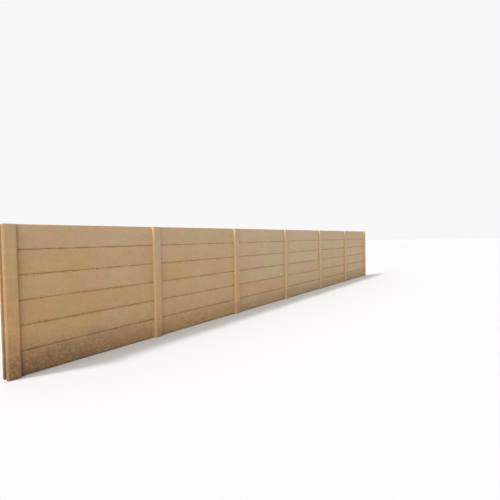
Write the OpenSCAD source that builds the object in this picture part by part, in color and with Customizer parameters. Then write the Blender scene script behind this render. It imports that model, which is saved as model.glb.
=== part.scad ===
// Post-and-panel precast concrete wall: a straight run of bays.
// Flat concrete panels are stacked on edge in the side slots of H-section concrete posts.
// +X runs along the wall, -Y is its front, +Z is up. The ground is at z = 0, and the origin
// is the centre of the middle post's foot.

/* [Run] */
// Number of bays in the run
bays = 6; // [1:1:6]
// Number of panels stacked in each bay
panels_per_bay = 6; // [1:1:8]

/* [Panel] */
// Length of a panel, from end to end
panel_length = 2134; // [1200:1:3000]
// Height of a panel
panel_height = 305; // [200:1:500]
// Thickness of a panel
panel_thickness = 50; // [40:1:70]
// Width of the chamfer on the four long edges of a panel
panel_chamfer = 5; // [2:0.5:12]

/* [Post] */
// Width of a post, along the wall
post_width = 150; // [120:1:250]
// Depth of a post, through the wall
post_depth = 150; // [120:1:250]
// Depth of the slot in each side of a post
slot_depth = 45; // [30:1:55]
// Width of the chamfer on the four upright corners of a post
post_chamfer = 10; // [3:1:16]

/* [Fit] */
// Room between the front of a panel and the front lip of its slot
slot_clearance = 6; // [2:1:12]
// Room between the end of a panel and the bottom of its slot
end_clearance = 3; // [1:1:8]

/* [Hidden] */
slot_width = panel_thickness + slot_clearance;
web_width = post_width - 2 * slot_depth;
bay_pitch = web_width + 2 * end_clearance + panel_length;
wall_height = panels_per_bay * panel_height;
panel_back_y = slot_width / 2;
panel_start_x = web_width / 2 + end_clearance;
middle_post = floor(bays / 2);
cut_past = 1;
post_color = [0.70, 0.58, 0.44];
panel_color = [0.70, 0.60, 0.48];
splashed_color = [0.60, 0.50, 0.38];

function post_x(i) = (i - middle_post) * bay_pitch;
function post_name(i) = str("post_", i + 1);
function panel_name(bay, row) = str("bay_", bay + 1, "_panel_", row + 1);

// A rectangle about the origin whose four corners are cut off at 45 degrees
module chamfered_rectangle(width, height, cut) {
    x = width / 2;
    y = height / 2;
    polygon([
        [cut - x, -y], [x - cut, -y], [x, cut - y], [x, y - cut],
        [x - cut, y], [cut - x, y], [-x, y - cut], [-x, cut - y]
    ]);
}

// The plan of a post: an H whose flanges are the slots' front and rear lips
module post_section() {
    difference() {
        chamfered_rectangle(post_width, post_depth, post_chamfer);
        for (side = [-1, 1])
            translate([side * (web_width + slot_depth + cut_past) / 2, 0])
                square([slot_depth + cut_past, slot_width], center = true);
    }
}

// Post i of the run, from 0 at the -X end. Its slots are open at the top, where panels drop in.
module post(i) {
    color(post_color)
        translate([post_x(i), 0, 0])
            linear_extrude(wall_height)
                post_section();
}

// The panel in row 0 (on the ground) or above of a bay, bearing on the rear lips of its slots
module panel(bay, row) {
    color(row == 0 ? splashed_color : panel_color)
        translate([
            post_x(bay) + panel_start_x,
            panel_back_y - panel_thickness / 2,
            (row + 0.5) * panel_height
        ])
            rotate([90, 0, 90])
                linear_extrude(panel_length)
                    chamfered_rectangle(panel_thickness, panel_height, panel_chamfer);
}

for (i = [0 : bays])
    post(i);
for (bay = [0 : bays - 1], row = [0 : panels_per_bay - 1])
    panel(bay, row);
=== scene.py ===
"""Visual model of a post-and-panel precast concrete wall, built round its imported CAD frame.

Each slotted post and each stacked panel gets a finer mesh with worn arrises and a weathered concrete
finish. Sizes and places come from the frame, in metres: +X along the wall, -Y out of its front, +Z up.
"""

import logging
import math
from collections.abc import Iterator
from dataclasses import dataclass
from enum import Enum
from itertools import product
from typing import ClassVar

import bpy
import numpy as np
from mathutils import Matrix, Vector


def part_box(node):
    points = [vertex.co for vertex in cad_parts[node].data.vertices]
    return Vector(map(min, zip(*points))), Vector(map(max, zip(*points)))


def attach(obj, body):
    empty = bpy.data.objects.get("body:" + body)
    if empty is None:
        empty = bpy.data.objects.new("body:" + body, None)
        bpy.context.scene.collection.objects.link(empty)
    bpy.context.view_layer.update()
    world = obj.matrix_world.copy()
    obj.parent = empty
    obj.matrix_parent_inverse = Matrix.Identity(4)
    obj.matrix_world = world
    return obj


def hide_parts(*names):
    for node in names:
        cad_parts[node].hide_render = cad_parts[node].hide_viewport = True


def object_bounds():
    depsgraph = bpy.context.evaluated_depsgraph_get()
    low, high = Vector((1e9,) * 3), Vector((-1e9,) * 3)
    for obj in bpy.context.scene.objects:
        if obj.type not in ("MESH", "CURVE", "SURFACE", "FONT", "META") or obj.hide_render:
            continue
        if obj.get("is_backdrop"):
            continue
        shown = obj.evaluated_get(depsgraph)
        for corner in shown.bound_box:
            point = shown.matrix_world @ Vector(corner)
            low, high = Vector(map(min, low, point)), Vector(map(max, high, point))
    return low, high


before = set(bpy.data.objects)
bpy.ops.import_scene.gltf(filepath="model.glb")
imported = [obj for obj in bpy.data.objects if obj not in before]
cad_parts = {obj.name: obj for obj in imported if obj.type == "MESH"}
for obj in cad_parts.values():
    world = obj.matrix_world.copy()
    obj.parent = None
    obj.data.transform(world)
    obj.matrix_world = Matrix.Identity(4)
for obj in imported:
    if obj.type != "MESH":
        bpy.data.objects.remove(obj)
cad_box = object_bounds()

log = logging.getLogger("precast_wall")
MM = 0.001

Socket = bpy.types.NodeSocket
Sockets = tuple[Socket, ...]
Outputs = bpy.types.NodeOutputs
Number = float | Socket
Colour = tuple[float, float, float]
Factors = Colour | Socket
Array = np.ndarray


class Slot(Enum):
    """The material slots, which are also the wall's three finishes."""

    POST = "post_concrete"
    PANEL = "panel_concrete"
    SPLASHED = "splashed_concrete"


class Mark(Enum):
    """Marks that a casting's vertices carry for its finish to read."""

    WORN = "worn"
    TONE = "tone"
    DAMP = "damp"


@dataclass(frozen=True)
class Layout:
    """Where the run's pieces meet, in metres.

    Attributes:
        height: Height of the wall.
        course: Height of one panel.
        bay: Pitch of the posts.
        first_post: X of the first post's middle.
        half_post: Half of a post's width.
    """

    height: float
    course: float
    bay: float
    first_post: float
    half_post: float

    @classmethod
    def read(cls) -> "Layout":
        """Measures the frame.

        Returns:
            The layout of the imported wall.
        """
        (left, right), after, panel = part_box("post_1"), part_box("post_2")[0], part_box("bay_1_panel_1")
        middle, half = (left.x + right.x) / 2, (right.x - left.x) / 2
        return cls(cad_box[1].z - cad_box[0].z, panel[1].z - panel[0].z, after.x - left.x, middle, half)


def placed(name: str, data: bpy.types.ID) -> bpy.types.Object:
    """Adds an object to the scene.

    Args:
        name: The object's name.
        data: Its mesh, camera or light.

    Returns:
        The new object.
    """
    made = bpy.data.objects.new(name, data)
    bpy.context.scene.collection.objects.link(made)
    return made


def direction(azimuth: float, elevation: float) -> Vector:
    """The way to an azimuth, 0 before the wall's front and 90 off its +X end, and a height, in degrees."""
    turn, rise = math.radians(azimuth), math.radians(elevation)
    return Vector((math.sin(turn) * math.cos(rise), -math.cos(turn) * math.cos(rise), math.sin(rise)))


# --- shader building


class Sketch:
    """Adds nodes to one node tree, each method giving back the socket that carries its result."""

    def __init__(self, tree: bpy.types.NodeTree) -> None:
        """Keeps the material's or node group's tree that the nodes go into."""
        self.tree = tree

    def put(self, value: object, socket: Socket) -> None:
        """Links a socket or sets a plain value on an input.

        Args:
            value: A socket to link from, or the value the input takes.
            socket: The input.
        """
        if isinstance(value, Socket):
            self.tree.links.new(value, socket)
        else:
            socket.default_value = value

    def node(self, kind: str, inputs: dict | None = None, **settings: object) -> bpy.types.Node:
        """Adds one node.

        Args:
            kind: The node's type without its ShaderNode prefix.
            inputs: Values or sockets by input name or index.
            settings: Properties set on the node itself.

        Returns:
            The new node.
        """
        made = self.tree.nodes.new("ShaderNode" + kind)
        for name, value in settings.items():
            setattr(made, name, value)
        for key, value in (inputs or {}).items():
            self.put(value, made.inputs[key])
        return made

    def math(self, operation: str, *terms: Number) -> Socket:
        """One arithmetic step of the Math node on up to three terms."""
        return self.node("Math", dict(enumerate(terms)), operation=operation).outputs[0]

    def times(self, a: Number, b: Number) -> Socket:
        """The product of two numbers."""
        return self.math("MULTIPLY", a, b)

    def less(self, a: Number, b: Number) -> Socket:
        """The first number less the second."""
        return self.math("SUBTRACT", a, b)

    def line(self, value: Number, slope: Number, start: Number) -> Socket:
        """A straight line through start where value is 0."""
        return self.math("MULTIPLY_ADD", value, slope, start)

    def swing(self, value: Number, amount: float) -> Socket:
        """A factor about 1 that swings by an amount either way as value goes from 0 to 1."""
        return self.line(value, 2 * amount, 1 - amount)

    def ramp(self, value: Number, start: Number, end: Number, low: float = 0.0, high: float = 1.0) -> Socket:
        """Smoothly carries value from low at start to high at end, and holds it outside."""
        given = {"Value": value, "From Min": start, "From Max": end, "To Min": low, "To Max": high}
        return self.node("MapRange", given, interpolation_type="SMOOTHSTEP").outputs["Result"]

    def axis(self, vector: Socket, name: str) -> Socket:
        """One coordinate of a place."""
        return self.node("SeparateXYZ", {0: vector}).outputs[name]

    def stretch(self, vector: Socket, by: Factors) -> Socket:
        """Scales coordinates, so that a pattern is drawn out along an axis whose factor is small."""
        return self.node("VectorMath", {0: vector, 1: by}, operation="MULTIPLY").outputs[0]

    def scale(self, size: Number) -> Number:
        """The texture scale that gives a pattern a size in metres."""
        return 1 / size if isinstance(size, float) else self.math("DIVIDE", 1.0, size)

    def noise(self, vector: Socket, size: Number, detail: float = 2.0, rough: float = 0.5) -> Socket:
        """Cloudy noise from 0 to 1, with lumps of a size in metres and finer octaves of a rough share."""
        given = {"Vector": vector, "Scale": self.scale(size), "Detail": detail, "Roughness": rough}
        return self.node("TexNoise", given).outputs["Fac"]

    def cells(self, vector: Socket, size: Number) -> tuple[Socket, Outputs]:
        """Points scattered one to a cell: how far the nearest is, in cells, and its three random numbers."""
        made = self.node("TexVoronoi", {"Vector": vector, "Scale": self.scale(size)})
        return made.outputs["Distance"], self.node("SeparateColor", {0: made.outputs["Color"]}).outputs

    def mix(self, share: Number, a: Factors, b: Factors, blend: str = "MIX") -> Socket:
        """Mixes two colours.

        Args:
            share: Share of b.
            a: First colour.
            b: Second colour.
            blend: The Mix node's blend type.

        Returns:
            The mixed colour.
        """
        made = self.node("Mix", data_type="RGBA", blend_type=blend)
        for value, index in ((share, 0), (a, 6), (b, 7)):
            self.put((*value, 1.0) if isinstance(value, tuple) else value, made.inputs[index])
        return made.outputs[2]

    def cover(self, colour: Socket, *layers: tuple[Colour, Socket, Number]) -> Socket:
        """Covers a colour with others, one over the next.

        Args:
            colour: The colour below.
            layers: Each one's colour, the mask of where it lies, and how strongly it shows there.

        Returns:
            The covered colour.
        """
        for over, mask, strength in layers:
            colour = self.mix(self.times(mask, strength), colour, over)
        return colour

    def group(self, effect: "type[Effect]", inputs: dict[str, Number]) -> Outputs:
        """Places a shared effect, which is built the first time that it is used."""
        return self.node("Group", inputs, node_tree=effect.built()).outputs


class Effect(Sketch):
    """A shader node group that several finishes share, its sizes in metres. Subclasses draw its inside."""

    name = "effect"
    inputs: dict[str, float] = {}
    outputs: tuple[str, ...] = ("Mask",)

    @classmethod
    def built(cls) -> bpy.types.NodeTree:
        """Gives the group's tree, built once.

        Returns:
            The tree, with a Vector input and the named numbers in and out.
        """
        if cls.name in bpy.data.node_groups:
            return bpy.data.node_groups[cls.name]
        tree = bpy.data.node_groups.new(cls.name, "ShaderNodeTree")
        face = tree.interface
        face.new_socket("Vector", in_out="INPUT", socket_type="NodeSocketVector")
        for label, value in cls.inputs.items():
            face.new_socket(label, in_out="INPUT", socket_type="NodeSocketFloat").default_value = value
        for label in cls.outputs:
            face.new_socket(label, in_out="OUTPUT", socket_type="NodeSocketFloat")
        effect, wanted = cls(tree), tree.nodes.new("NodeGroupOutput").inputs
        for label, result in zip(cls.outputs, effect.draw(), strict=True):
            effect.put(result, wanted[label])
        return tree

    def __init__(self, tree: bpy.types.NodeTree) -> None:
        """Keeps the group's tree, and the sockets of its inputs."""
        super().__init__(tree)
        self.given = tree.nodes.new("NodeGroupInput").outputs

    def draw(self) -> Sockets:
        """Draws the group's inside, and gives one socket for each output."""
        raise NotImplementedError


class Mottle(Effect):
    """Uneven tone of cast concrete: patches of tone and hue, clouds, sandy spots and upright streaks."""

    name = "mottle"
    inputs = {"Patch Size": 0.6, "Cloud Size": 0.05, "Spot Size": 0.018, "Streak Width": 0.014, "Along": 0.5}
    outputs = ("Patch", "Hue", "Cloud", "Spots", "Streaks")
    elsewhere = (17.0, 5.0, 9.0)
    hue_size = 0.6
    upright = (1.0, 1.0, 0.05)
    middle = (0.3, 0.7)

    def draw(self) -> Sockets:
        """Spreads five noises over 0 to 1.

        Returns:
            One socket for each output.
        """
        given = self.given
        place = given["Vector"]
        patch = self.noise(place, given["Patch Size"], detail=6.0, rough=0.6)
        hue_size = self.times(given["Patch Size"], self.hue_size)
        moved = self.node("VectorMath", {0: place, 1: self.elsewhere}).outputs[0]
        hue = self.noise(moved, hue_size, detail=3.0)
        drawn = self.node("CombineXYZ", {0: given["Along"], 1: 1.0, 2: 1.0}).outputs[0]
        cloud = self.noise(self.stretch(place, drawn), given["Cloud Size"], detail=5.0, rough=0.6)
        spots = self.noise(place, given["Spot Size"], detail=3.0, rough=0.7)
        streaks = self.noise(self.stretch(place, self.upright), given["Streak Width"], rough=0.6)
        return tuple(self.ramp(value, *self.middle) for value in (patch, hue, cloud, spots, streaks))


class SandGrain(Effect):
    """The sandy skin of the concrete: fine grain, and single grains paler or darker than the paste."""

    name = "sand_grain"
    inputs = {"Grain Size": 0.0025, "Fleck Size": 0.006}
    outputs = ("Grain", "Pale", "Dark")
    rim = (0.36, 0.22)
    pale_above = 0.86
    dark_above = 0.88

    def draw(self) -> Sockets:
        """Noise for the grain, and round cells whose random numbers pick the flecks.

        Returns:
            One socket for each output.
        """
        given = self.given
        grain = self.noise(given["Vector"], given["Grain Size"], rough=0.7)
        distance, picks = self.cells(given["Vector"], given["Fleck Size"])
        near = self.ramp(distance, *self.rim)
        pale = self.times(near, self.math("GREATER_THAN", picks[0], self.pale_above))
        dark = self.times(near, self.math("GREATER_THAN", picks[1], self.dark_above))
        return grain, pale, dark


class AirHoles(Effect):
    """Small round holes that air bubbles leave in a cast face."""

    name = "air_holes"
    inputs = {"Spacing": 0.034, "Largest": 0.005}
    rarity = 3.0
    bottom = 0.6

    def draw(self) -> Sockets:
        """One hole to a cell, most of them small, with a soft rim.

        Returns:
            The holes.
        """
        given = self.given
        distance, picks = self.cells(given["Vector"], given["Spacing"])
        radius = self.times(self.math("POWER", picks[0], self.rarity), given["Largest"])
        away = self.times(distance, given["Spacing"])
        return (self.ramp(away, radius, self.times(radius, self.bottom)),)


class RainStreaks(Effect):
    """Narrow grey runs that rain leaves below the top of the wall."""

    name = "rain_streaks"
    inputs = {"Top": 1.83, "Reach": 0.5, "Width": 0.03}
    upright = (1.0, 1.0, 0.06)
    ragged = 0.3
    solid = 0.1
    runs = (0.42, 0.72)

    def draw(self) -> Sockets:
        """Noise drawn out up the wall, fading with the depth below the top.

        Returns:
            The streaks.
        """
        given = self.given
        place = given["Vector"]
        runs = self.noise(self.stretch(place, self.upright), given["Width"], detail=3.0, rough=0.6)
        depth = self.line(runs, self.ragged, self.less(given["Top"], self.axis(place, "Z")))
        fade = self.ramp(depth, self.math("ADD", given["Reach"], self.ragged / 2), self.solid)
        return (self.times(self.ramp(runs, *self.runs), fade),)


class Splash(Effect):
    """Soil that rain has splashed up from the ground: a film low down, and spatter to twice its reach."""

    name = "soil_splash"
    inputs = {"Reach": 0.4, "Dot Size": 0.025, "Damp": 0.5}
    outputs = ("Film", "Mud", "Crumbs")
    reaches = (0.76, 1.42)
    edge_size = 0.16
    edge_drawn = (0.6, 1.0, 1.0)
    ragged = 0.3
    grit_size = 1.4
    grit = (0.32, 0.68)
    gritty = 0.25
    thick = (2.2, 0.5)
    wobble_scale = 110.0
    wobble = 0.028
    fine = 0.42
    share = 0.42
    growth = 1.25
    start = 0.06
    smallest = 0.001
    core = 0.4

    def draw(self) -> Sockets:
        """The film thins out upwards to a ragged edge, and dots of two sizes thin out past it.

        Returns:
            One socket for each output.
        """
        given = self.given
        place, dot, (dry, damp) = given["Vector"], given["Dot Size"], self.reaches
        reach = self.times(self.line(given["Damp"], damp - dry, dry), given["Reach"])
        tongues = self.noise(self.stretch(place, self.edge_drawn), self.edge_size, detail=4.0, rough=0.6)
        height = self.less(self.axis(place, "Z"), self.ragged / 2)
        level = self.math("DIVIDE", self.line(tongues, self.ragged, height), reach)
        grit = self.noise(place, self.times(dot, self.grit_size), detail=4.0, rough=0.7)
        grit = self.swing(self.ramp(grit, *self.grit), self.gritty)
        thick = self.ramp(level, *self.thick)
        wobble = self.node("TexNoise", {"Vector": place, "Scale": self.wobble_scale, "Detail": 3.0})
        bent = {0: wobble.outputs["Color"], 1: (self.wobble,) * 3, 2: place}
        bent = self.node("VectorMath", bent, operation="MULTIPLY_ADD").outputs[0]
        coarse = self.dots(bent, dot, thick)
        fine = self.dots(bent, self.times(dot, self.fine), thick)
        mud, crumbs = (self.math("MAXIMUM", *pair) for pair in zip(coarse, fine, strict=True))
        film = self.node("MapRange", {"Value": level, "From Min": 1.0, "From Max": 0.0}).outputs["Result"]
        return self.times(film, grit), mud, crumbs

    def dots(self, place: Socket, size: Number, thick: Socket) -> list[Socket]:
        """Scatters dots of mud and paler crumbs, more of them and bigger where the splash is thick.

        Args:
            place: Coordinates in metres.
            size: Pitch of the dots.
            thick: How thick the splash is, from 0 to 1.

        Returns:
            Masks of the mud and of the crumbs.
        """
        distance, picks = self.cells(place, size)
        share = self.times(thick, self.share)
        mud = self.math("ADD", self.less(picks[0], 1.0), share)
        masks = []
        for above in (mud, self.less(share, picks[0])):
            radius = self.math("MAXIMUM", self.line(above, self.growth, self.start), self.smallest)
            masks.append(self.ramp(distance, radius, self.times(radius, self.core)))
        return masks


class JointStainAndPaintedLight(Effect):
    """Dirt where castings meet, in the joints and in runs out of them, and painted shade with dirt in each
    post's +X corner.

    A painted highlight lies along the top of each panel, just below its joint. Another painted highlight
    runs up each post's -X side and is brightest at its top. The panels have a painted warm glow beside it.
    The outer face of the run's first post gets painted shade instead, and so, more and more, do the -X faces
    of the posts towards the run's other end.
    """

    name = "joint_stain_and_painted_light"
    inputs = {"Top": 1.83, "Course": 0.305, "Bay": 2.2, "First Post": 0.0, "Half Post": 0.075}
    inputs |= {"Half Width": 0.023, "Run": 0.07}
    outputs = ("Grime", "Runs", "Ledge Highlight", "Corner Shade", "Painted Highlight", "Painted Glow", "Painted Shade")
    edge_size = 0.03
    edge_drawn = (0.5, 1.0, 1.0)
    lower = (1.3, 0.7)
    spread = 1.5
    faint_size = 0.35
    faint_noise = (0.35, 0.6)
    faint = 0.4
    run_width = 0.018
    run_noise = (0.5, 0.8)
    run_core = 0.2
    upright = (1.0, 1.0, 0.12)
    # Painted highlight: the widths of the pale strip along each panel's top, below its joint.
    ledge_highlight = (1.5, 0.6)
    # Painted shade with dirt: width of the dark strip in each post's +X corner.
    corner = 1.9
    # Painted highlight: width of the pale strip up each post's -X side and the panel beside it.
    painted_highlight = 1.6
    # Painted highlight: it grows stronger from the first depth below the top to the second.
    tip = (0.24, 0.08)
    brightest_at_tip = 3.3
    # Painted warm glow: width of the warm tint on the panels beside each post's -X side.
    film = 0.12
    # Painted shade: the first post's outer face, and the posts' -X faces more and more towards the run's
    # other end.
    face = (0.010, 0.003)
    later = (3.5, 10.5)
    darkest_shade = 0.5

    def draw(self) -> Sockets:
        """All of them come from how far a place is from the nearest joint or post.

        Returns:
            One socket for each output.
        """
        given = self.given
        place = given["Vector"]
        ragged = self.noise(self.stretch(place, self.edge_drawn), self.edge_size, detail=4.0, rough=0.6)
        width = self.times(given["Half Width"], self.times(ragged, 2.0))
        along = self.less(self.axis(place, "X"), given["First Post"])
        return *self.at_joints(width), *self.at_posts(width, along)

    def at_joints(self, width: Socket) -> Sockets:
        """The dirt of the joints between panels, which the top of the wall isn't one of, and the painted
        highlight along each panel's top.

        Args:
            width: The ragged half width of a joint's dirt.

        Returns:
            The joints' dirt, the runs and the painted highlight along each panel's top.
        """
        given = self.given
        place, course = given["Vector"], given["Course"]
        height, half = self.axis(place, "Z"), self.times(course, 0.5)
        over = self.math("ADD", self.less(height, given["Top"]), half)
        away = self.math("MAXIMUM", self.math("PINGPONG", height, half), over)
        below = self.less(course, self.math("FLOORED_MODULO", height, course))
        faint = self.ramp(self.noise(place, self.faint_size), *self.faint_noise, self.faint, 1.0)
        broad = self.times(width, self.ramp(height, *self.lower, 1.0, self.spread))
        drawn = self.noise(self.stretch(place, self.upright), self.run_width, detail=3.0, rough=0.6)
        reach = self.times(given["Run"], self.ramp(drawn, *self.run_noise))
        return (
            self.times(self.ramp(away, broad, 0.0), faint),
            self.ramp(away, reach, self.times(reach, self.run_core)),
            # Painted highlight along each panel's top, below its joint.
            self.ramp(below, *(self.times(width, share) for share in self.ledge_highlight)),
        )

    def at_posts(self, width: Socket, along: Socket) -> Sockets:
        """The painted light and shade, partly with dirt, that the posts and the panels beside them show.

        Args:
            width: The ragged half width of a joint's dirt.
            along: How far along the run a place is from the first post's middle.

        Returns:
            The painted shade and dirt in the corner, the painted highlight, the painted warm glow and the
            painted shade on -X faces.
        """
        given = self.given
        past = self.less(self.math("FLOORED_MODULO", along, given["Bay"]), given["Half Post"])
        from_end = self.math("ADD", along, given["Half Post"])
        side = self.math("PINGPONG", from_end, self.times(given["Bay"], 0.5))
        outer, face = (self.ramp(value, *self.face) for value in (from_end, side))
        later = self.ramp(along, *self.later, 0.0, self.darkest_shade)
        inside = self.math("MAXIMUM", side, self.times(along, -1.0))
        painted_highlight = self.ramp(inside, self.times(width, self.painted_highlight), 0.0)
        depth = self.less(given["Top"], self.axis(given["Vector"], "Z"))
        return (
            # Painted shade with dirt in each post's +X corner.
            self.ramp(past, self.times(width, self.corner), 0.0),
            # Painted highlight up each post's -X side, brightest at its top.
            self.times(painted_highlight, self.ramp(depth, *self.tip, 1.0, self.brightest_at_tip)),
            # Painted warm glow beside each post's -X side.
            self.ramp(side, self.film, 0.0),
            # Painted shade on the first post's outer face and on the posts' -X faces.
            self.math("MAXIMUM", outer, self.times(face, later)),
        )


class ArrisWear(Effect):
    """Worn arrises: paler where they are rubbed, and darker in chips, with dirt and painted shade."""

    name = "arris_wear"
    inputs = {"Worn": 0.0}
    outputs = ("Rubbed", "Chipped")
    patch_size = 0.012
    patchy = 0.4
    rubbed = (0.1, 0.45)
    # Chips: darkened with dirt and painted shade in the finish.
    chipped = (0.5, 0.95)

    def draw(self) -> Sockets:
        """Breaks up the worn mark with noise, low for rubbed and high for chipped.

        Returns:
            One socket for each output.
        """
        given = self.given
        patches = self.noise(given["Vector"], self.patch_size, detail=4.0, rough=0.65)
        raised = self.math("ADD", given["Worn"], self.line(patches, 2 * self.patchy, -self.patchy))
        return self.ramp(raised, *self.rubbed), self.ramp(raised, *self.chipped)


# --- finishes


@dataclass(frozen=True)
class ConcreteFinish:
    """Sandy cast concrete, weathered out of doors.

    Colours are linear reflectances, reliefs are heights in metres, and other amounts are shares.
    """

    slot: Slot
    brown: Colour = (0.425, 0.250, 0.110)
    buff: Colour = (0.452, 0.338, 0.213)
    rosy_tint: Colour = (1.022, 0.979, 1.070)
    olive_tint: Colour = (0.979, 1.017, 0.930)
    # Colour of rubbed arrises, and of the painted highlights.
    fresh_and_highlight: Colour = (0.500, 0.345, 0.200)
    pale_grain: Colour = (0.600, 0.500, 0.400)
    dark_grain: Colour = (0.240, 0.170, 0.110)
    # Colour of the splashed mud and film, and of the painted shade on -X faces.
    soil_and_shade: Colour = (0.150, 0.083, 0.036)
    crumb: Colour = (0.450, 0.290, 0.178)
    # Colour of the dirt in joints and runs, and of the painted shade in the +X corners, the chips and the
    # air holes.
    grime_and_shade: Colour = (0.250, 0.113, 0.004)
    rain_grey: Colour = (0.360, 0.290, 0.210)
    # Painted warm glow beside the posts' -X sides, as a tint.
    painted_glow_tint: Colour = (0.990, 0.930, 0.780)
    paleness: float = -0.17
    paler_upwards: float = 0.5
    patchy: float = 0.24
    cloudy: float = 0.038
    spotty: float = 0.04
    grainy: float = 0.2
    along: float = 0.5
    uprights: float = 0.012
    pale_grains: float = 0.35
    dark_grains: float = 0.4
    rain: float = 0.22
    splash_reach: float = 0.40
    film: float = 0.7
    dry_film: float = 0.38
    specks: float = 0.8
    damp_specks: float = 0.45
    joints: float = 0.43
    # Strength of the painted shade with dirt in the posts' +X corners.
    corners: float = 0.35
    caked: float = 1.4
    # Strength of the painted highlight along each panel's top.
    ledge_highlight: float = 0.18
    # Strength of the painted highlight up the posts' -X sides.
    painted_highlight: float = 0.85
    # Strength of the painted warm glow.
    painted_glow: float = 1.0
    # Strength of the painted shade on -X faces.
    painted_shade: float = 0.0
    rubbed: float = 0.4
    # Strength of the dark colour in chips: dirt and painted shade.
    chipped: float = 0.35
    # Strength of the painted shade in the air holes.
    pit_shade: float = 0.7
    roughness: float = 0.82
    rough_clouds: float = 0.12
    rough_film: float = 0.05
    specular: float = 0.3
    bump: float = 0.7
    grain_relief: float = 0.35 * MM
    chip_relief: float = 1.2 * MM
    cloud_relief: float = 0.6 * MM
    spot_relief: float = 0.3 * MM
    hole_relief: float = -2.0 * MM
    crumb_relief: float = 0.7 * MM
    mud_relief: float = 0.4 * MM


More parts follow.
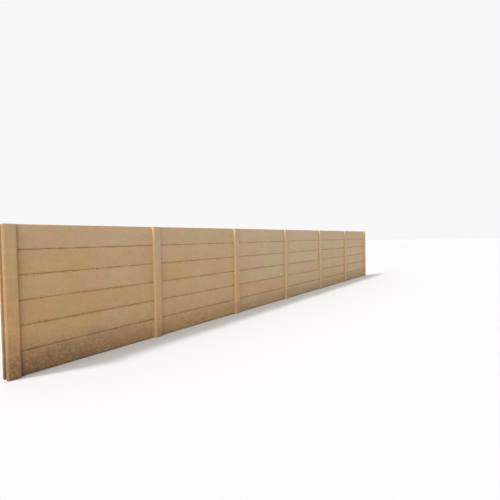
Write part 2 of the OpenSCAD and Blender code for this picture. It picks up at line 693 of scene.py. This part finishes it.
class Coat(Sketch):
    """A finish drawn in its own material, over shared effects that are placed with its values."""

    def __init__(self, finish: ConcreteFinish, layout: Layout) -> None:
        """Makes the material, named after its slot, and places the shared effects in it.

        Args:
            finish: The finish.
            layout: Where the run's pieces meet.
        """
        self.finish, self.layout = finish, layout
        self.material = bpy.data.materials.new(finish.slot.value)
        self.material.use_nodes = True
        self.material.node_tree.nodes.clear()
        super().__init__(self.material.node_tree)
        self.place = self.node("TexCoord").outputs["Object"]
        self.marks = {m: self.node("Attribute", attribute_name=m.value).outputs["Fac"] for m in Mark}
        meeting = {"Top": layout.height, "Course": layout.course, "Bay": layout.bay}
        meeting |= {"First Post": layout.first_post, "Half Post": layout.half_post}
        effects = {
            Mottle: {"Along": finish.along},
            SandGrain: {},
            AirHoles: {},
            RainStreaks: {"Top": layout.height},
            Splash: {"Reach": finish.splash_reach, "Damp": self.marks[Mark.DAMP]},
            JointStainAndPaintedLight: meeting,
            ArrisWear: {"Worn": self.marks[Mark.WORN]},
        }
        self.mottle, self.sand, self.holes, self.streaks, self.splash, self.joint, self.wear = (
            self.group(effect, {"Vector": self.place, **inputs}) for effect, inputs in effects.items()
        )

    def draw(self) -> bpy.types.Material:
        """Draws the shader.

        Returns:
            The finished material.
        """
        finish = self.finish
        rough = self.line(self.mottle["Cloud"], finish.rough_clouds, finish.roughness)
        given = {
            "Base Color": self.worn(self.soiled(self.cast())),
            "Roughness": self.line(self.splash["Film"], finish.rough_film, rough),
            "Normal": self.relief(),
            "Specular IOR Level": finish.specular,
        }
        shader = self.node("BsdfPrincipled", given)
        self.node("OutputMaterial", {"Surface": shader.outputs[0]})
        return self.material

    def cast(self) -> Socket:
        """The concrete's own colour, paler upwards, with its mottle, its grain and rain streaks.

        Returns:
            The colour.
        """
        finish, mottle, sand = self.finish, self.mottle, self.sand
        rise = finish.paler_upwards / self.layout.height
        pale = self.line(self.axis(self.place, "Z"), rise, finish.paleness)
        pale = self.line(mottle["Patch"], finish.patchy, self.math("ADD", pale, self.marks[Mark.TONE]))
        tint = self.mix(mottle["Hue"], finish.olive_tint, finish.rosy_tint)
        colour = self.mix(1.0, self.mix(pale, finish.brown, finish.buff), tint, "MULTIPLY")
        shade = self.swing(mottle["Cloud"], finish.cloudy)
        parts = (
            (mottle["Spots"], finish.spotty),
            (mottle["Streaks"], finish.uprights),
            (sand["Grain"], finish.grainy),
        )
        for value, amount in parts:
            shade = self.times(shade, self.swing(value, amount))
        return self.cover(
            self.node("VectorMath", {0: colour, "Scale": shade}, operation="SCALE").outputs[0],
            (finish.pale_grain, sand["Pale"], finish.pale_grains),
            (finish.dark_grain, sand["Dark"], finish.dark_grains),
            (finish.rain_grey, self.streaks["Mask"], finish.rain),
        )

    def soiled(self, colour: Socket) -> Socket:
        """Lays the splashed soil over a colour.

        Args:
            colour: The colour below.

        Returns:
            The colour with its film of soil, its mud and its crumbs.
        """
        finish, splash, damp = self.finish, self.splash, self.marks[Mark.DAMP]
        thickness = self.line(damp, 1 - finish.dry_film, finish.dry_film)
        spatter = self.line(damp, (finish.damp_specks - 1) * finish.specks, finish.specks)
        return self.cover(
            colour,
            (finish.soil_and_shade, splash["Film"], self.times(thickness, finish.film)),
            (finish.soil_and_shade, splash["Mud"], spatter),
            (finish.crumb, splash["Crumbs"], spatter),
        )

    def worn(self, colour: Socket) -> Socket:
        """Adds the rubbed arrises and the dirt in the joints, and painted light and shade: highlights along
        the panels' tops and up the posts' -X sides, a warm glow beside the posts, shade on -X faces, shade
        with dirt in the +X corners and the chips, and shade in the air holes.

        Args:
            colour: The colour below.

        Returns:
            The finished colour.
        """
        finish, joint = self.finish, self.joint
        joints, corners = (
            self.line(self.splash["Film"], finish.caked * least, least)
            for least in (finish.joints, finish.corners)
        )
        # Painted warm glow beside the posts' -X sides.
        painted_glow = self.times(joint["Painted Glow"], finish.painted_glow)
        return self.cover(
            self.mix(painted_glow, colour, finish.painted_glow_tint, "MULTIPLY"),
            # Painted shade on the first post's outer face and on -X faces.
            (finish.soil_and_shade, joint["Painted Shade"], finish.painted_shade),
            # Painted highlight along each panel's top.
            (finish.fresh_and_highlight, joint["Ledge Highlight"], finish.ledge_highlight),
            # Painted highlight up the posts' -X sides.
            (finish.fresh_and_highlight, joint["Painted Highlight"], finish.painted_highlight),
            (finish.fresh_and_highlight, self.wear["Rubbed"], finish.rubbed),
            # Painted shade with dirt in the posts' +X corners.
            (finish.grime_and_shade, joint["Corner Shade"], corners),
            (finish.grime_and_shade, joint["Runs"], finish.joints),
            (finish.grime_and_shade, joint["Grime"], joints),
            # Dirt and painted shade in chips.
            (finish.grime_and_shade, self.wear["Chipped"], finish.chipped),
            # Painted shade in the air holes.
            (finish.grime_and_shade, self.holes["Mask"], finish.pit_shade),
        )

    def relief(self) -> Socket:
        """The finish's fine relief, from true depths in metres.

        Returns:
            The normal.
        """
        finish = self.finish
        skin = self.line(self.wear["Chipped"], finish.chip_relief, finish.grain_relief)
        total = self.times(self.sand["Grain"], skin)
        depths = (
            (self.mottle["Cloud"], finish.cloud_relief),
            (self.mottle["Spots"], finish.spot_relief),
            (self.holes["Mask"], finish.hole_relief),
            (self.splash["Crumbs"], finish.crumb_relief),
            (self.splash["Mud"], finish.mud_relief),
        )
        for value, depth in depths:
            total = self.line(value, depth, total)
        given = {"Strength": finish.bump, "Distance": 1.0, "Height": total}
        return self.node("Bump", given).outputs["Normal"]


FINISHES = (
    ConcreteFinish(
        Slot.POST,
        paleness=-0.28, along=1.0, uprights=0.03, film=0.88, specks=1.2,
        # The posts take a weaker painted highlight, no painted warm glow, and painted shade on their -X
        # faces.
        joints=0.0, corners=0.0, painted_highlight=0.3, painted_glow=0.0, painted_shade=0.42,
    ),
    ConcreteFinish(Slot.PANEL),
    # The lowest panel has a stronger painted highlight along its top, and a darker colour for its dirt and
    # painted shade.
    ConcreteFinish(Slot.SPLASHED, film=0.95, specks=1.0, ledge_highlight=0.42, grime_and_shade=(0.130, 0.080, 0.025)),
)


# --- castings


class SmoothNoise:
    """Smooth three-dimensional noise from a seeded lattice, from -1 to 1."""

    cells = 64

    def __init__(self, seed: int) -> None:
        """Fills the lattice with random values drawn from the seed."""
        self.lattice = np.random.default_rng(seed).uniform(-1, 1, (self.cells,) * 3)

    def at(self, points: Array, size: float) -> Array:
        """Reads the noise.

        Args:
            points: Places as rows of three numbers, in metres.
            size: Size of a lump of the noise, in metres.

        Returns:
            One value for each point.
        """
        scaled = points / size
        low = np.floor(scaled).astype(int)
        share = scaled - low
        share = share * share * (3 - 2 * share)
        total = np.zeros(len(points))
        for corner in product((0, 1), repeat=3):
            weight = np.prod(np.where(corner, share, 1 - share), axis=1)
            total += weight * self.lattice[tuple(((low + corner) % self.cells).T)]
        return total


NOISE = SmoothNoise(seed=41)
RING_PITCH = 12 * MM
END_RINGS = np.array([0, 2.5, 7]) * MM
ARRIS_POINTS = (0.2, 0.55, 1.0)
ARRIS_PART = 0.42
CREASE = math.radians(28)


@dataclass(frozen=True)
class Weather:
    """How far a casting has worn and how true it was cast, in metres.

    An arris wears within its reach, and the edges of the ends round more than the others. Chips leave a
    share of it whole, and fine ones of a third of their size are less deep. Chips, arrises and ends are
    marked as worn by three amounts. The faces wave, and stand out by no more than proud.
    """

    reach: float = 9 * MM
    rounding: float = 0.9 * MM
    end_rounding: float = 1.6
    chip_depth: float = 6 * MM
    chip_size: float = 30 * MM
    chip_share: float = 0.42
    fine_chips: float = 0.35
    marked: tuple[float, float, float] = (2.5, 0.35, 0.3)
    wave: float = 0.5 * MM
    wave_size: float = 0.45
    proud: float = 0.4 * MM


@dataclass(frozen=True)
class Exposure:
    """How the run's places differ: its near, -X end has browned most and takes the most splash.

    The concrete is palest, by its bleaching, from bleached_at past the start on, and the foot is driest
    from dry_at past it on.
    """

    start: float
    bleached_at: float = 7.0
    dry_at: float = 3.2
    bleaching: float = 0.66

    def tone(self, x: Array) -> Array:
        """How much paler than the near end the concrete is at each x."""
        return self.bleaching * np.clip((x - self.start) / self.bleached_at, 0, 1)

    def damp(self, x: Array) -> Array:
        """How much splash the foot takes at each x, from 1 at the near end to 0."""
        share = np.clip((x - self.start) / self.dry_at, 0, 1)
        return 1 - share * share * (3 - 2 * share)


@dataclass(frozen=True)
class Outline:
    """The closed cross-section of a casting, anticlockwise seen against its length.

    Attributes:
        points: Rows of two numbers.
        faces: Outward normals of the faces, for waves.
        breaks: Outward directions at the nearest arris, for wear.
        arris: 1 at an arris, falling to 0 at the wear's reach.
    """

    points: Array
    faces: Array
    breaks: Array
    arris: Array

    @classmethod
    def of(cls, corners: list[tuple[float, float]], pitch: float, reach: float) -> "Outline":
        """Fills in points along the sides of a polygon, close together near the corners that stand out.

        Args:
            corners: The polygon's corners, anticlockwise.
            pitch: Widest spacing of the points in between.
            reach: How far from an arris it wears.

        Returns:
            The outline.
        """
        ends = np.array(corners, float)
        sides = np.roll(ends, -1, axis=0) - ends
        lengths = np.linalg.norm(sides, axis=1)
        ways = sides / lengths[:, None]
        outs = np.stack([ways[:, 1], -ways[:, 0]], axis=1)
        bisectors = outs + np.roll(outs, 1, axis=0)
        bisectors /= np.linalg.norm(bisectors, axis=1)[:, None]
        before = np.roll(ways, 1, axis=0)
        convex = before[:, 0] * ways[:, 1] - before[:, 1] * ways[:, 0] > 0
        rows = []
        for i, (start, way, out, length) in enumerate(zip(ends, ways, outs, lengths, strict=True)):
            after = (i + 1) % len(ends)
            for along in cls.spaced(length, pitch, reach, convex[i], convex[after]):
                near, distance = (i, along) if along <= length / 2 else (after, length - along)
                keen = max(0.0, 1 - distance / reach) if convex[near] else 0.0
                face = bisectors[i] if along == 0 else out
                rows.append((start + way * along, face, bisectors[near], keen))
        points, faces, breaks, arris = (np.array(column, float) for column in zip(*rows, strict=True))
        return cls(points, faces, breaks, arris)

    @staticmethod
    def spaced(length: float, pitch: float, reach: float, start: bool, end: bool) -> list[float]:
        """Spaces out a side's points.

        Args:
            length: Length of the side.
            pitch: Widest spacing away from its arrises.
            reach: How far from an arris it wears.
            start: Whether there is an arris at its start.
            end: Whether there is one at its end.

        Returns:
            Distances from the side's start, with the start among them and the end left out.
        """
        near = [share * reach for share in ARRIS_POINTS if share * reach < ARRIS_PART * length]
        first = [0.0, *near] if start else [0.0]
        last = [length - d for d in reversed(near)] if end else []
        inner = (last[0] if last else length) - first[-1]
        count = max(1, math.ceil(inner / pitch))
        middle = [first[-1] + inner * k / count for k in range(1, count)]
        return [*first, *middle, *last]


@dataclass
class Casting:
    """One solid of cast concrete, swept along its length and weathered.

    It stands for a CAD node. Its axes are the two that its cross-section lies in and the one that it is
    swept along, and its tone is how pale it was cast, about 0.
    """

    axes: ClassVar[tuple[int, int, int]]
    node: str
    slot: Slot
    exposure: Exposure
    tone: float = 0.0
    weather: Weather = Weather()

    def __post_init__(self) -> None:
        """Reads the node's box from the frame."""
        self.low, self.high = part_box(self.node)

    def outline(self) -> Outline:
        """The cross-section that is swept."""
        raise NotImplementedError

    def half(self, axis: int) -> float:
        """Half of its size along an axis."""
        return (self.high[axis] - self.low[axis]) / 2

    def length(self) -> float:
        """The swept length."""
        return 2 * self.half(self.axes[2])

    def lay(self, across: Array, along: Array) -> Array:
        """Places points of the cross-section in the wall's frame.

        Args:
            across: Cross-section coordinates about its middle, as rows of two numbers.
            along: Each one's distance along the length.

        Returns:
            Places as rows of three numbers.
        """
        places = np.empty((len(along), 3))
        places[:, self.axes] = np.column_stack([across, along])
        start, swept = (self.low + self.high) / 2, self.axes[2]
        start[swept] = self.low[swept]
        return places + np.array(start, float)

    def turned(self, across: Array) -> Array:
        """Turns directions in the cross-section, as rows of two numbers, into the wall's frame."""
        still = np.zeros(len(across))
        return self.lay(across, still) - self.lay(np.zeros_like(across), still)

    def stray(self, places: Array) -> Array:
        """How far each point lies off true for the casting as a whole, as rows of three numbers."""
        return np.zeros_like(places)

    def stations(self) -> Array:
        """Spaces out the rings of points, close together at the casting's ends.

        Returns:
            Distances along the length.
        """
        length, ends = self.length(), END_RINGS
        count = math.ceil((length - 2 * ends[-1]) / RING_PITCH)
        middle = np.linspace(ends[-1], length - ends[-1], count + 1)
        return np.concatenate([ends[:-1], middle, length - ends[-2::-1]])

    def rings(self) -> tuple[Array, Array]:
        """Works out the weathered surface.

        Returns:
            Every point, ring by ring, and how worn each is.
        """
        outline, stations, weather = self.outline(), self.stations(), self.weather
        rings = len(stations)
        along = np.repeat(stations, len(outline.points))
        places = self.lay(np.tile(outline.points, (rings, 1)), along)
        faces = self.turned(np.tile(outline.faces, (rings, 1)))
        breaks = self.turned(np.tile(outline.breaks, (rings, 1)))
        keen = np.tile(outline.arris, rings)
        from_end = np.minimum(along, self.length() - along)
        end_keen = np.clip(1 - from_end / weather.reach, 0, 1)
        fine = NOISE.at(places, weather.chip_size / 3)
        chip = NOISE.at(places, weather.chip_size) + weather.fine_chips * fine
        chipped = np.clip((chip - weather.chip_share) / (1 - weather.chip_share), 0, 1)
        rounded = weather.rounding * (keen**2 + weather.end_rounding * end_keen**2)
        worn = chipped * np.maximum(keen, end_keen)
        wave = weather.wave * NOISE.at(places, weather.wave_size) * (1 - keen)
        moved = places - breaks * (rounded + weather.chip_depth * worn)[:, None]
        moved += faces * np.minimum(wave, weather.proud)[:, None] + self.stray(places)
        by_chips, by_arrises, by_ends = weather.marked
        return moved, np.clip(worn * by_chips + by_arrises * keen**3 + by_ends * end_keen**3, 0, 1)

    def mesh(self, material: bpy.types.Material) -> bpy.types.Mesh:
        """Joins the rings into a closed mesh that carries its marks.

        Args:
            material: The finish.

        Returns:
            The mesh.
        """
        points, worn = self.rings()
        around = len(self.outline().points)
        rounds = len(points) // around
        first = np.arange(around)
        after = np.roll(first, -1)
        ring = np.stack([first, after, after + around, first + around], axis=1)
        quads = (ring[None] + (np.arange(rounds - 1) * around)[:, None, None]).reshape(-1, 4)
        caps = [list(range(around))[::-1], list(range((rounds - 1) * around, rounds * around))]
        mesh = bpy.data.meshes.new(self.node + "_casting")
        mesh.from_pydata(points.tolist(), [], quads.tolist() + caps)
        x = points[:, 0]
        tone, damp = self.exposure.tone(x) + self.tone, self.exposure.damp(x)
        for mark, numbers in ((Mark.WORN, worn), (Mark.TONE, tone), (Mark.DAMP, damp)):
            layer = mesh.attributes.new(mark.value, "FLOAT", "POINT")
            layer.data.foreach_set("value", numbers.astype(np.float32))
        mesh.shade_smooth()
        mesh.set_sharp_from_angle(angle=CREASE)
        mesh.materials.append(material)
        return mesh

    def build(self, material: bpy.types.Material) -> bpy.types.Object:
        """Makes the piece and hands it to the frame.

        Args:
            material: The finish.

        Returns:
            The new object.
        """
        piece = placed(self.node + "_concrete", self.mesh(material))
        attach(piece, "root")
        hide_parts(self.node)
        return piece


@dataclass
class Post(Casting):
    """An H-section post with chamfered upright arrises, whose two slots hold the ends of the panels."""

    axes = (0, 1, 2)
    slot_depth: float = 45 * MM
    slot_width: float = 56 * MM
    chamfer: float = 10 * MM

    def outline(self) -> Outline:
        """Draws the H in plan.

        Returns:
            The outline, about the post's middle.
        """
        x, y, c = self.half(0), self.half(1), self.chamfer
        web, lip = x - self.slot_depth, self.slot_width / 2
        right = [(x, c - y), (x, -lip), (web, -lip), (web, lip), (x, lip), (x, y - c)]
        half = [(x - c, -y), *right, (x - c, y)]
        corners = half + [(-u, -v) for u, v in half]
        return Outline.of(corners, pitch=40 * MM, reach=self.weather.reach)


@dataclass
class Panel(Casting):
    """A flat panel on edge with chamfered long arrises, that bows at its middle and steps out a little."""

    axes = (1, 2, 0)
    chamfer: float = 5 * MM
    bow: float = 0.0
    step: float = 0.0

    def outline(self) -> Outline:
        """Draws the panel's section, through the wall and up it.

        Returns:
            The outline, about the panel's middle.
        """
        y, z, c = self.half(1), self.half(2), self.chamfer
        half = [(c - y, -z), (y - c, -z), (y, c - z), (y, z - c)]
        corners = half + [(-u, -v) for u, v in half]
        return Outline.of(corners, pitch=60 * MM, reach=self.weather.reach)

    def stray(self, places: Array) -> Array:
        """Adds the panel's bow and its step towards the front.

        Args:
            places: Places as rows of three numbers.

        Returns:
            How far each lies off true, as rows of three numbers.
        """
        share = (places[:, 0] - self.low.x) / self.length()
        out = np.zeros_like(places)
        out[:, 1] = -self.step - self.bow * np.sin(math.pi * share)
        return out


# --- the wall


@dataclass
class Bay:
    """The panels stacked between two posts, the lowest one splashed with soil.

    Bays are numbered from 1 at the -X end. The draw gives each panel its own tone, and its own bow and
    step out to the front between a least and a most.
    """

    number: int
    exposure: Exposure
    draw: np.random.Generator
    tone: float = 0.12
    bow: tuple[float, float] = (-1.5 * MM, 2 * MM)
    step: tuple[float, float] = (2.0 * MM, 3.2 * MM)

    def panels(self) -> list[Panel]:
        """Lists the bay's panels as the frame names them.

        Returns:
            The panels from the ground up, each with its own tone, bow and step.
        """
        prefix = f"bay_{self.number}_panel_"
        made = []
        for name in sorted(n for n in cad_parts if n.startswith(prefix)):
            slot = Slot.SPLASHED if name == prefix + "1" else Slot.PANEL
            tone = self.draw.uniform(-self.tone, self.tone)
            bow, step = self.draw.uniform(*self.bow), self.draw.uniform(*self.step)
            made.append(Panel(name, slot, self.exposure, tone=tone, bow=bow, step=step))
        return made


@dataclass
class Wall:
    """The whole run: its posts and the bays between them.

    The seed draws how the castings differ. The posts have worn and bleached less than the panels.
    """

    layout: Layout
    seed: int = 66598
    tone: float = 0.12
    post_wear: Weather = Weather(chip_depth=4 * MM, chip_share=0.52)
    post_bleaching: float = 0.5

    def castings(self) -> list[Casting]:
        """Lists the run's castings.

        Returns:
            The posts, then the panels bay by bay.
        """
        draw = np.random.default_rng(self.seed)
        start = cad_box[0].x
        exposure, on_posts = Exposure(start), Exposure(start, bleaching=self.post_bleaching)
        posts = sorted(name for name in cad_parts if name.startswith("post_"))
        made: list[Casting] = []
        for name in posts:
            made.append(Post(name, Slot.POST, on_posts, draw.uniform(-self.tone, self.tone), self.post_wear))
        for number in range(1, len(posts)):
            made += Bay(number, exposure, draw).panels()
        return made

    def build(self) -> Iterator[bpy.types.Object]:
        """Builds every casting with its finish.

        Yields:
            Each new piece.
        """
        materials = {finish.slot: Coat(finish, self.layout).draw() for finish in FINISHES}
        for casting in self.castings():
            yield casting.build(materials[casting.slot])


# --- studio


@dataclass(frozen=True)
class Viewpoint:
    """A standing person's view along the wall, from short of its first post's middle.

    The view turns by its heading from straight along the wall towards it, looks down by its dip and leans
    to the right by its roll, all in degrees. The lens is in millimetres, and the rest in metres.
    """

    short_of_post: float = 1.916
    before_panels: float = 4.765
    eye_height: float = 1.603
    heading: float = 34.73
    dip: float = 1.73
    roll: float = 1.02
    lens: float = 26.41
    farthest: float = 500.0

    def build(self) -> bpy.types.Object:
        """Makes the scene's camera.

        Returns:
            The camera.
        """
        post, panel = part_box("post_1"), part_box("bay_1_panel_1")
        x = (post[0].x + post[1].x) / 2 - self.short_of_post
        y = panel[0].y - self.before_panels
        ahead, right = direction(self.heading + 90, -self.dip), direction(self.heading, 0)
        level = Matrix((right, right.cross(ahead), -ahead)).transposed()
        turn = level @ Matrix.Rotation(-math.radians(self.roll), 3, "Z")
        data = bpy.data.cameras.new("viewpoint")
        data.lens = self.lens
        data.clip_end = self.farthest
        camera = placed("viewpoint", data)
        camera.matrix_world = Matrix.Translation((x, y, self.eye_height)) @ turn.to_4x4()
        bpy.context.scene.camera = camera
        return camera


@dataclass(frozen=True)
class Lamp:
    """A distant soft lamp. Its place and spread are in degrees, its strength in watts a square metre."""

    name: str
    azimuth: float
    elevation: float
    strength: float
    spread: float

    def build(self) -> bpy.types.Object:
        """Makes the lamp.

        Returns:
            The lamp.
        """
        data = bpy.data.lights.new(self.name, "SUN")
        data.energy = self.strength
        data.angle = math.radians(self.spread)
        lamp = placed(self.name, data)
        lamp.rotation_mode = "QUATERNION"
        lamp.rotation_quaternion = direction(self.azimuth, self.elevation).to_track_quat("Z", "Y")
        return lamp


@dataclass(frozen=True)
class Studio:
    """A plain pale floor and sky, a broad soft key from the wall's near end and a high back light.

    The floor lies its drop under the ground line. The sky lights the wall, and the backdrop is how bright
    it shows.
    """

    floor_side: float = 400.0
    floor_drop: float = 0.5 * MM
    floor_grey: float = 0.60
    floor_rough: float = 0.9
    floor_shine: float = 0.2
    sky: float = 0.58
    backdrop: float = 0.94
    lamps: tuple[Lamp, ...] = (
        Lamp("key", azimuth=-74, elevation=25, strength=3.05, spread=80),
        Lamp("back_light", azimuth=-114, elevation=57, strength=2.4, spread=8),
    )

    def build(self) -> None:
        """Makes the floor, the sky and the lamps."""
        bpy.context.scene.view_settings.view_transform = "Standard"
        self.build_floor()
        self.build_sky()
        for lamp in self.lamps:
            lamp.build()

    def build_floor(self) -> None:
        """Lays the floor just under the ground line."""
        half = self.floor_side / 2
        corners = [(-half, -half, 0), (half, -half, 0), (half, half, 0), (-half, half, 0)]
        mesh = bpy.data.meshes.new("floor")
        mesh.from_pydata(corners, [], [(0, 1, 2, 3)])
        floor = placed("floor", mesh)
        floor.location.z = -self.floor_drop
        floor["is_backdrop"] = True
        material = bpy.data.materials.new("pale_floor")
        material.use_nodes = True
        shader = material.node_tree.nodes["Principled BSDF"]
        shader.inputs["Base Color"].default_value = (*(self.floor_grey,) * 3, 1.0)
        shader.inputs["Roughness"].default_value = self.floor_rough
        shader.inputs["Specular IOR Level"].default_value = self.floor_shine
        mesh.materials.append(material)

    def build_sky(self) -> None:
        """Makes a white backdrop that lights the wall more softly than it shows."""
        world = bpy.data.worlds.new("sky")
        world.use_nodes = True
        bpy.context.scene.world = world
        sketch = Sketch(world.node_tree)
        seen = sketch.node("LightPath").outputs["Is Camera Ray"]
        strength = sketch.math("MULTIPLY_ADD", seen, self.backdrop - self.sky, self.sky)
        background = world.node_tree.nodes["Background"]
        background.inputs["Color"].default_value = (1.0, 1.0, 1.0, 1.0)
        sketch.put(strength, background.inputs["Strength"])


def write_sizes() -> None:
    """Gathers the CAD model's box and the visual model's box, each as its lowest and highest corner."""
    boxes = {"cad": cad_box, "visual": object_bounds()}
    {name: [list(corner) for corner in box] for name, box in boxes.items()}


def main() -> None:
    """Builds the studio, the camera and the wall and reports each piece."""
    logging.basicConfig(level=logging.INFO, format="%(name)s: %(message)s")
    Studio().build()
    Viewpoint().build()
    for piece in Wall(Layout.read()).build():
        log.info("%s: %d faces", piece.name, len(piece.data.polygons))
    write_sizes()


if __name__ == "__main__":
    main()
